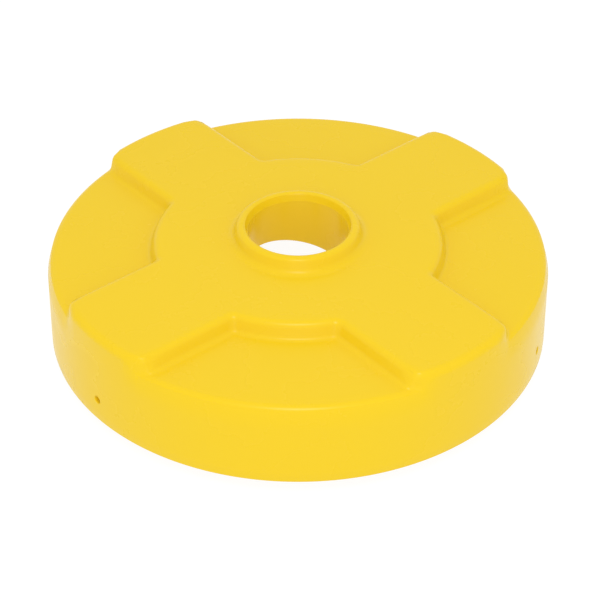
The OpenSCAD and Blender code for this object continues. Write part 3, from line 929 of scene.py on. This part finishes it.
def fork_mesh(caster):
    """Pressed fork: one bent sheet with flanged edges, and the ring of its race."""
    f_low, f_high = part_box("caster_1_fork")
    half = caster.steel / 2
    leg = leg_outside(caster) - half
    top = f_high.z - 2.5 * MM - half
    end_r = AXLE_Z - f_low.z
    crown_r = f_high.x - SWIVEL_R
    front, back = crown_r * 0.72, AXLE_X * 0.9
    shoulder = top - 8 * MM
    bend = 5 * MM
    # the sheet's path across the fork: y and z, from one leg's end over the crown to the other
    leg_z = [AXLE_Z + end_r * math.sin(math.radians(a)) for a in (-85, -72, -54, -36, -18, 0)]
    leg_z += [AXLE_Z + (shoulder - AXLE_Z) * i / 6 for i in range(1, 7)]
    path = [(leg, z) for z in leg_z]
    sheet_top = top - 0.15 * MM
    path += sweep(leg - bend, sheet_top - bend, bend, bend, (0, 22, 45, 68, 90))
    path += [(y, sheet_top) for y in (leg * 0.5, leg * 0.25)]
    path += [(0, sheet_top)] + [(-y, z) for y, z in reversed(path)]
    columns = 12
    bm = bmesh.new()
    skins = []
    for offset in (half, -half):
        grid = []
        for i, (y, z) in enumerate(path):
            before, after = path[max(i - 1, 0)], path[min(i + 1, len(path) - 1)]
            along_y, along_z = after[0] - before[0], after[1] - before[1]
            pace = math.hypot(along_y, along_z)
            if z <= AXLE_Z:
                reach = math.sqrt(max(end_r ** 2 - (z - AXLE_Z) ** 2, 0))
                x0, x1 = AXLE_X - reach, AXLE_X + reach
            else:
                rise = min((z - AXLE_Z) / (shoulder - AXLE_Z), 1)
                x0 = (AXLE_X - end_r) * (1 - rise) + back * rise
                x1 = (AXLE_X + end_r) * (1 - rise) + front * rise
            row = []
            for j in range(columns + 1):
                share = j / columns
                edge = max(abs(share - 0.5) - 0.38, 0) / 0.12
                flange = 1.4 * MM * edge * edge * min(max((shoulder - z) / (10 * MM), 0), 1)
                row.append(bm.verts.new((x0 + (x1 - x0) * share,
                                         y + offset * along_z / pace + math.copysign(flange, y),
                                         z - offset * along_y / pace)))
            grid.append(row)
        skins.append(grid)
    outer, inner = skins
    for grid in skins:
        for low_row, high_row in zip(grid, grid[1:]):
            for j in range(columns):
                bm.faces.new((low_row[j], low_row[j + 1], high_row[j + 1], high_row[j]))
    for j in (0, columns):
        for i in range(len(path) - 1):
            bm.faces.new((outer[i][j], outer[i + 1][j], inner[i + 1][j], inner[i][j]))
    for i in (0, -1):
        for j in range(columns):
            bm.faces.new((outer[i][j], outer[i][j + 1], inner[i][j + 1], inner[i][j]))
    bmesh.ops.recalc_face_normals(bm, faces=bm.faces)
    rims = [e for e in bm.edges
            if len(e.link_faces) == 2 and e.calc_face_angle(0) > math.radians(60)]
    rounded(bm, rims, 0.6 * MM, 2)
    low, race = top - half - 0.2 * MM, caster.race
    high = f_high.z
    r_in, ball = caster.king_pin / 2 + 4 * MM, caster.ball / 2
    points = [(r_in, low + 0.5 * MM), (r_in + 0.5 * MM, low), (crown_r - 0.8 * MM, low),
              (crown_r, low + 0.8 * MM), (crown_r, high - 2.5 * MM - 0.8 * MM),
              (crown_r - 0.8 * MM, high - 2.5 * MM), (race + 6 * MM, high - 2.5 * MM),
              (race + 5 * MM, high - 1.4 * MM), (race + 4.4 * MM, high)]
    points += sweep(race, high + RACE_DEPTH, ball * 0.98, ball, [-d for d in RACE_TURNS])
    points += [(race - 4.4 * MM, high), (race - 5 * MM, high - 2.5 * MM), (r_in, high - 2.5 * MM)]
    return gather([bm, turned(points, 96, closed=True)])


def plate_mesh(caster):
    """Top plate with rounded corners and the upper race pressed in it."""
    low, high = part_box("caster_1_plate")
    hx, hy = (high.x - low.x) / 2, (high.y - low.y) / 2
    thick = 3 * MM
    under = high.z - thick
    corner = 8 * MM
    bm = bmesh.new()
    outline = []
    for sx, sy, start in ((1, 1, 0), (-1, 1, 90), (-1, -1, 180), (1, -1, 270)):
        outline += arc(sx * (hx - corner), sy * (hy - corner), corner, start, start + 90, 6)
    raised(bm, bm.faces.new([bm.verts.new((x, y, under)) for x, y in outline]), (0, 0, thick))
    rounded(bm, [e for e in bm.edges if e.calc_face_angle(0) > 1.2], 0.5 * MM, 2)
    race, ball = caster.race, caster.ball / 2
    base = low.z
    points = [(race - 6.5 * MM, under + 0.5 * MM), (race - 5 * MM, under - 1 * MM),
              (race - 4.6 * MM, base)]
    points += sweep(race, base - RACE_DEPTH, ball * 0.98, ball, RACE_TURNS[::-1])
    points += [(race + 4.6 * MM, base), (race + 5 * MM, under - 1 * MM),
               (race + 6.5 * MM, under + 0.5 * MM)]
    return gather([bm, turned(points, 96, closed=True)])


def king_pin_mesh(caster):
    """Riveted king pin, with a head at each end."""
    low, high = span("caster_1_king_pin", 2)
    r = caster.king_pin / 2
    return turned([(0, low), (r + 0.4 * MM, low), (r + 1.6 * MM, low + 0.5 * MM),
                   (r + 2.6 * MM, low + 1.3 * MM), (r + 2.8 * MM, low + 1.9 * MM),
                   (r, low + 2 * MM), (r, high - 3 * MM),
                   (r + 2.9 * MM, high - 2.9 * MM), (r + 3 * MM, high - 2.3 * MM),
                   (r + 1.8 * MM, high - 0.6 * MM), (r + 0.6 * MM, high), (0, high)], 64)


def ball_cup_mesh(caster):
    """Pressed cup that holds the lower balls."""
    low, high = span("caster_1_ball_cup", 2)
    y0, y1 = span("caster_1_ball_cup", 1)
    r, r_in = (y1 - y0) / 2, caster.king_pin / 2 + 0.05 * MM
    race, ball = caster.lower_race, caster.lower_ball / 2
    points = [(r_in, low), (race + 1 * MM, low), (r - 1 * MM, low + 0.8 * MM), (r, low + 2 * MM),
              (r, high - 0.3 * MM), (r - 0.4 * MM, high)]
    points += sweep(race, high - 1 * MM, ball, ball * 0.96, range(15, -166, -30))
    points += [(race - ball - 0.5 * MM, high), (r_in + 0.3 * MM, high), (r_in, high - 0.3 * MM)]
    return turned(points, 80, closed=True)


def balls_mesh(caster):
    """Both rings of loose balls."""
    upper = span("caster_1_plate", 2)[1] - 4.5 * MM - caster.ball / 2
    lower = span("caster_1_balls", 2)[0] + caster.lower_ball / 2
    bm = bmesh.new()
    for r, size, z in ((caster.race, caster.ball, upper),
                       (caster.lower_race, caster.lower_ball, lower)):
        for i in range(caster.balls):
            a = math.tau * i / caster.balls
            spot = Matrix.Translation((r * math.cos(a), r * math.sin(a), z))
            bmesh.ops.create_uvsphere(bm, u_segments=16, v_segments=10, radius=size / 2 * 0.995,
                                      matrix=spot)
    return bm


def dust_seal_mesh(_):
    """Ring round the upper balls, with a bead at its top and bottom."""
    low, high = span("caster_1_dust_seal", 2)
    y0, y1 = span("caster_1_dust_seal", 1)
    r, h = (y1 - y0) / 2, high - low
    t = 2.5 * MM
    return turned([(r - t, low + 0.3 * MM), (r - t + 0.3 * MM, low), (r - 0.3 * MM, low),
                   (r, low + 0.3 * MM), (r, low + h * 0.2), (r - 0.8 * MM, low + h * 0.3),
                   (r - 0.8 * MM, low + h * 0.7),
                   (r, low + h * 0.8), (r, high - 0.3 * MM), (r - 0.3 * MM, high),
                   (r - t + 0.3 * MM, high), (r - t, high - 0.3 * MM)], 96, closed=True)


def axle_bolt_mesh(caster):
    """Hexagon-headed axle bolt, laid along the axle."""
    low, high = span("caster_1_axle_bolt", 1)
    r = caster.axle / 2
    leg = leg_outside(caster)
    head = hex_form(r * 1.6, leg, high, dish=0.4 * MM)
    shank = rod(r, -leg - 1 * MM, leg + 1 * MM, 40)
    return on_axle(gather([head, shank, threaded(r, low, -leg - 1 * MM)]))


def axle_nut_mesh(caster):
    """Hexagon nut with the rounded collar of its locking ring."""
    low, high = span("caster_1_axle_nut", 1)
    r, tall = caster.axle / 2 + 0.05 * MM, high - low
    body = hex_form(r * 1.58, low + tall * 0.26, high, up=False, hole=r)
    w = r * 1.42
    collar = turned([(r, low), (w - 1.2 * MM, low), (w - 0.4 * MM, low + 0.4 * MM),
                     (w, low + 1.2 * MM), (w, low + tall * 0.4), (r, low + tall * 0.4)],
                    60, closed=True)
    return on_axle(gather([body, collar]))


def ring_of(node, r_in, broken):
    """A turned tube on the axle, in a node's length and diameter."""
    y0, y1 = span(node, 1)
    z0, z1 = span(node, 2)
    return on_axle(tube(r_in, (z1 - z0) / 2, y0, y1, broken))


def sleeve_mesh(caster):
    """Steel sleeve that keeps the fork's legs apart."""
    return ring_of("caster_1_axle_sleeve", caster.axle / 2 + 0.1 * MM, 0.5 * MM)


def bush_mesh(_):
    """Nylon bush that turns on the sleeve."""
    z0, z1 = span("caster_1_axle_sleeve", 2)
    return ring_of("caster_1_wheel_bush", (z1 - z0) / 2 + 0.05 * MM, 0.4 * MM)


def bolt_places(caster):
    """Where each mounting bolt stands, in the whole object."""
    for k in CASTERS:
        for out in (-1, 1):
            for side in (-1, 1):
                yield spun_z(math.pi / 2 * (k - 1), SWIVEL_R + out * caster.bolt_gap_out / 2,
                             side * caster.bolt_gap_across / 2)


def repeated(make, places):
    """One bmesh of copies of a small part, one at each place."""
    parts = []
    for place in places:
        part = make()
        bmesh.ops.transform(part, matrix=place, verts=part.verts)
        parts.append(part)
    return gather(parts)


def bolt_mesh(caster):
    """Mounting bolt, head down."""
    low, high = span("plate_bolts", 2)
    head_top = span("lock_washers", 2)[0]
    r = caster.bolt / 2
    head = hex_form(r * 1.59, low, head_top, up=False, dish=0.3 * MM)
    shank = rod(r, head_top - 0.5 * MM, head_top + 6 * MM, 32)
    return gather([head, shank, threaded(r, head_top + 6 * MM, high)])


def washer_mesh(caster):
    """Spring washer: a square section wound just short of a full turn, its ends apart."""
    low, high = span("lock_washers", 2)
    r_in, r_out = caster.bolt / 2 + 0.1 * MM, caster.bolt * 0.9
    gap, step = math.radians(9), 0.35 * MM
    bm = bmesh.new()
    verts, edges = chain(bm, [(r_in, low + step), (r_out, low + step),
                              (r_out, high), (r_in, high)])
    edges.append(bm.edges.new((verts[-1], verts[0])))
    face = bm.faces.new(verts)
    bmesh.ops.spin(bm, geom=[face], cent=(0, 0, 0), axis=(0, 0, 1), dvec=(0, 0, 0),
                   angle=math.tau - gap, steps=48, use_merge=False, use_normal_flip=False,
                   use_duplicate=False)
    for v in bm.verts:
        share = (math.atan2(v.co.y, v.co.x) % math.tau) / math.tau
        v.co.z -= step * (0 if share > 0.999 else share)
    bmesh.ops.recalc_face_normals(bm, faces=bm.faces)
    return bm


def insert_mesh(caster):
    """Brass insert with grooves round it and a flange at its mouth."""
    low, high = span("threaded_inserts", 2)
    r_in, r = caster.bolt / 2 + 0.05 * MM, caster.bolt / 2 + 2 * MM
    points = [(r_in + 0.5 * MM, low), (r, low),
              (r, low + 1.2 * MM), (r - 0.5 * MM, low + 1.6 * MM)]
    rows = 4
    for i in range(rows):
        z = low + 1.6 * MM + (high - low - 2.4 * MM) * i / rows
        tall = (high - low - 2.4 * MM) / rows
        points += [(r, z + tall * 0.3), (r, z + tall * 0.7), (r - 0.5 * MM, z + tall)]
    points += [(r - 0.8 * MM, high), (r_in, high), (r_in, low + 0.5 * MM)]
    return turned(points, 32, closed=True)


# Each caster's pieces: how each is made, what it rides on, its slot and its finish
CASTER_PIECES = {
    "plate": (plate_mesh, "deck", "zinc_steel", zinc_plate),
    "king_pin": (king_pin_mesh, "deck", "pin_steel", turned_steel),
    "ball_cup": (ball_cup_mesh, "deck", "zinc_steel", zinc_plate),
    "balls": (balls_mesh, "swivel", "ball_steel", ball_steel),
    "dust_seal": (dust_seal_mesh, "swivel", "black_plastic", black_plastic),
    "fork": (fork_mesh, "swivel", "zinc_steel", zinc_plate),
    "axle_bolt": (axle_bolt_mesh, "swivel", "fastener_steel", bright_fastener),
    "axle_nut": (axle_nut_mesh, "swivel", "fastener_steel", bright_fastener),
    "axle_sleeve": (sleeve_mesh, "swivel", "pin_steel", turned_steel),
    "wheel_bush": (bush_mesh, "wheel", "bush_nylon", bush_nylon),
    "wheel_core": (core_mesh, "wheel", "wheel_plastic", wheel_plastic),
    "tyre": (tyre_mesh, "wheel", "tyre_rubber", tyre_rubber),
}


def caster_pieces(context, names):
    """Makes some of the pieces of all four casters."""
    caster = context.scene.drum_dolly_caster
    for name in names:
        make, rides, slot, finish = CASTER_PIECES[name]
        for k in CASTERS:
            bm = make(caster)
            bmesh.ops.transform(bm, matrix=spun_z(math.pi / 2 * (k - 1), SWIVEL_R), verts=bm.verts)
            body = rides if rides == "deck" else f"{rides}_{k}"
            finish_piece(f"{name}_{k}", bm, body, finish(caster), (f"caster_{k}_{name}",))


class DRUMDOLLY_OT_wheels(bpy.types.Operator):
    """Add the wheels: tyres, cores and bushes"""
    bl_idname = "drum_dolly.wheels"
    bl_label = "Wheels"

    def execute(self, context):
        caster_pieces(context, ("tyre", "wheel_core", "wheel_bush"))
        return {"FINISHED"}


class DRUMDOLLY_OT_forks(bpy.types.Operator):
    """Add the forks and their axles"""
    bl_idname = "drum_dolly.forks"
    bl_label = "Forks and axles"

    def execute(self, context):
        caster_pieces(context, ("fork", "axle_bolt", "axle_nut", "axle_sleeve"))
        return {"FINISHED"}


class DRUMDOLLY_OT_heads(bpy.types.Operator):
    """Add the swivel heads: plates, king pins, cups, balls and seals"""
    bl_idname = "drum_dolly.heads"
    bl_label = "Swivel heads"

    def execute(self, context):
        caster_pieces(context, ("plate", "king_pin", "ball_cup", "balls", "dust_seal"))
        return {"FINISHED"}


class DRUMDOLLY_OT_fixings(bpy.types.Operator):
    """Add the mounting bolts, their washers and the threaded inserts"""
    bl_idname = "drum_dolly.fixings"
    bl_label = "Fixings"

    def execute(self, context):
        caster = context.scene.drum_dolly_caster
        for name, make, node, slot, finish in (
                ("mounting_bolts", bolt_mesh, "plate_bolts", "fastener_steel", bright_fastener),
                ("spring_washers", washer_mesh, "lock_washers", "fastener_steel", bright_fastener),
                ("brass_inserts", insert_mesh, "threaded_inserts", "insert_brass", brass)):
            bm = repeated(lambda: make(caster), bolt_places(caster))
            finish_piece(name, bm, "deck", finish(caster), (node,))
        return {"FINISHED"}


# ---------------------------------------------------------------- the studio

def aim(location, target=(0, 0, 0.08)):
    """Turns something at a place towards a target."""
    return (Vector(target) - Vector(location)).to_track_quat("-Z", "Y").to_euler()


def soft_light(name, location, size, power):
    """A square area light that faces the deck."""
    lamp = bpy.data.lights.new(name, "AREA")
    lamp.size, lamp.energy = size, power
    holder = placed(name, lamp)
    holder.location = location
    holder.rotation_euler = aim(location)


class DRUMDOLLY_OT_studio(bpy.types.Operator):
    """Add the floor, the lights and the camera"""
    bl_idname = "drum_dolly.studio"
    bl_label = "Studio"

    def execute(self, context):
        scene = context.scene
        s = scene.drum_dolly_studio
        scene.view_settings.view_transform = "Standard"
        world = bpy.data.worlds.new("studio")
        world.use_nodes = True
        world.node_tree.nodes["Background"].inputs["Color"].default_value = (1, 1, 1, 1)
        world.node_tree.nodes["Background"].inputs["Strength"].default_value = 0.92
        scene.world = world
        bm = bmesh.new()
        bmesh.ops.create_circle(bm, cap_ends=True, segments=64, radius=9.0)
        mesh = mesh_from("studio_floor", bm)
        floor = placed("studio_floor", mesh)
        material = bpy.data.materials.new("studio_floor")
        material.use_nodes = True
        shader = material.node_tree.nodes["Principled BSDF"]
        shader.inputs["Base Color"].default_value = (0.12, 0.12, 0.12, 1)
        shader.inputs["Roughness"].default_value = 0.9
        shader.inputs["Specular IOR Level"].default_value = 0.0
        shader.inputs["Emission Color"].default_value = (1, 1, 1, 1)
        shader.inputs["Emission Strength"].default_value = 0.93
        mesh.materials.append(material)
        soft_light("overhead", (-0.80, -0.95, 2.0), 0.45, 11)
        soft_light("front", (-1.9, -2.3, 1.0), 1.6, 6.5)
        lens = bpy.data.cameras.new("camera")
        lens.lens, lens.sensor_width = s.lens, 36
        lens.shift_x, lens.shift_y = s.shift_x, s.shift_y
        lens.clip_end = 50
        camera = placed("camera", lens)
        back = Vector((math.sin(s.turn) * math.cos(s.rise), -math.cos(s.turn) * math.cos(s.rise),
                       math.sin(s.rise)))
        camera.location = Vector((0, 0, DECK_LOW.z)) + back * s.distance
        camera.rotation_euler = (-back).to_track_quat("-Z", "Y").to_euler()
        scene.camera = camera
        return {"FINISHED"}


class DRUMDOLLY_PT_panel(bpy.types.Panel):
    """Lists the pieces of the drum dolly"""
    bl_idname = "DRUMDOLLY_PT_panel"
    bl_label = "Drum Dolly"
    bl_space_type = "VIEW_3D"
    bl_region_type = "UI"
    bl_category = "Drum Dolly"

    def draw(self, context):
        layout = self.layout
        for step in STEPS:
            layout.operator(step.bl_idname)
        for group in GROUPS:
            box = layout.box()
            settings = getattr(context.scene, group)
            for key in settings.__annotations__:
                box.prop(settings, key)


GROUPS = {"drum_dolly_deck": DrumDollyDeck, "drum_dolly_caster": DrumDollyCaster,
          "drum_dolly_studio": DrumDollyStudio}
STEPS = (DRUMDOLLY_OT_studio, DRUMDOLLY_OT_deck, DRUMDOLLY_OT_fixings, DRUMDOLLY_OT_heads,
         DRUMDOLLY_OT_forks, DRUMDOLLY_OT_wheels)


def register():
    for group in GROUPS.values():
        bpy.utils.register_class(group)
    for name, group in GROUPS.items():
        setattr(bpy.types.Scene, name, bpy.props.PointerProperty(type=group))
    for step in STEPS:
        bpy.utils.register_class(step)
    bpy.utils.register_class(DRUMDOLLY_PT_panel)


def unregister():
    bpy.utils.unregister_class(DRUMDOLLY_PT_panel)
    for step in reversed(STEPS):
        bpy.utils.unregister_class(step)
    for name in GROUPS:
        delattr(bpy.types.Scene, name)
    for group in reversed(GROUPS.values()):
        bpy.utils.unregister_class(group)


def main():
    register()
    bpy.ops.drum_dolly.studio()
    bpy.ops.drum_dolly.deck()
    bpy.ops.drum_dolly.fixings()
    bpy.ops.drum_dolly.heads()
    bpy.ops.drum_dolly.forks()
    bpy.ops.drum_dolly.wheels()


if __name__ == "__main__":
    main()
